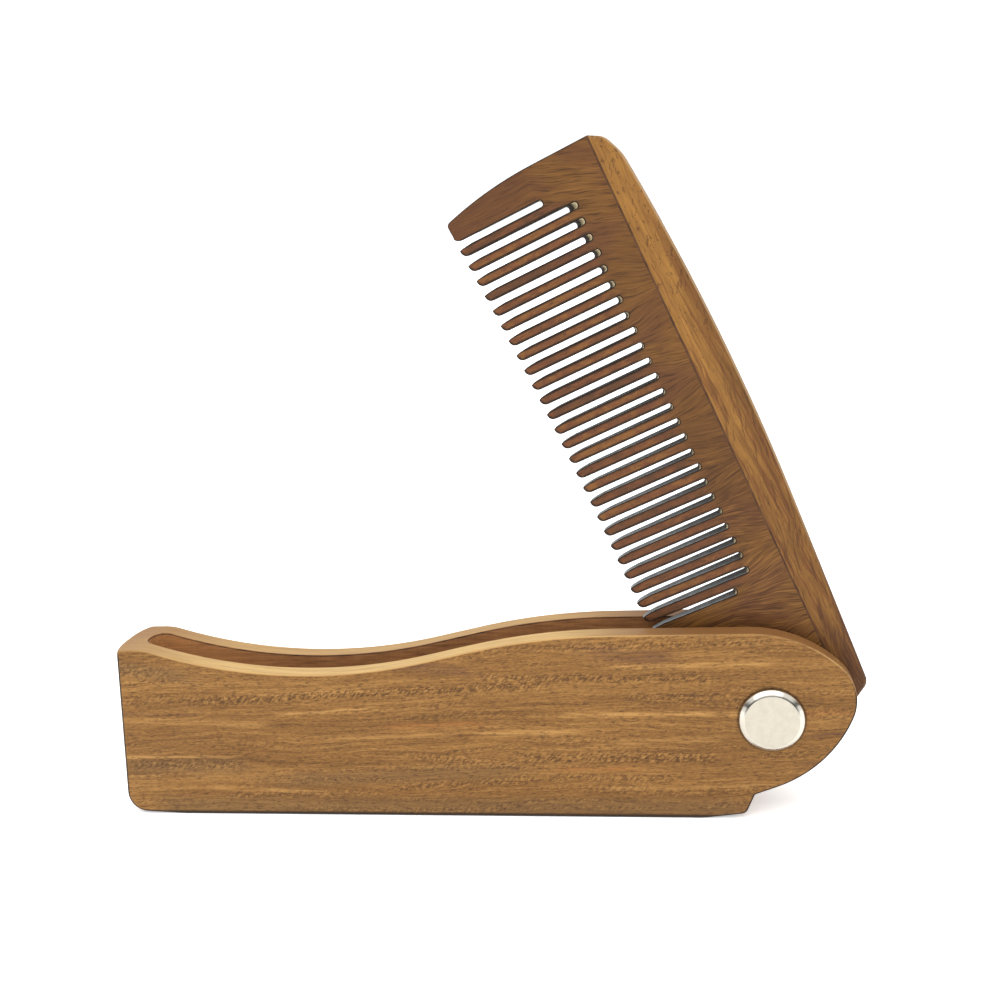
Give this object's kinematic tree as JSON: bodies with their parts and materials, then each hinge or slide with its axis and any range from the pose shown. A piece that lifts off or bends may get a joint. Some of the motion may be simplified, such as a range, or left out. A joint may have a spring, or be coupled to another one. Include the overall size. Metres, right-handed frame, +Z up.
{
  "type": "folding comb",
  "caption": "Wooden comb that folds on a metal rivet into a slot in its wooden handle, standing open on the handle's flat edge.",
  "frame": {"origin": "middle of the bottom of the whole comb's box, with the comb standing open on the handle's bottom edge", "axes": "+X along the handle towards the rivet's end, +Y across the handle away from the front rivet cap, +Z up"},
  "size_m": [0.1212, 0.0152, 0.1039],
  "materials": {
    "handle_wood": "oiled, satin",
    "comb_field_wood": "oiled, satin",
    "spine_strip_wood": "oiled, satin",
    "rivet_nickel": "nickel plate, satin"
  },
  "bodies": {
    "handle_body": {"handle": "handle_wood", "pivot_rivet": "rivet_nickel", "rivet_back_cap": "rivet_nickel"},
    "comb": {"comb_field": "comb_field_wood", "spine_strip": "spine_strip_wood"}
  },
  "joints": [
    {"name": "comb_hinge", "type": "hinge", "parent": "handle_body", "child": "comb", "pos_m": [0.04602, 0, 0.0164], "axis": [0, 1, 0], "range_deg": [-67.2, 110.8]}
  ]
}
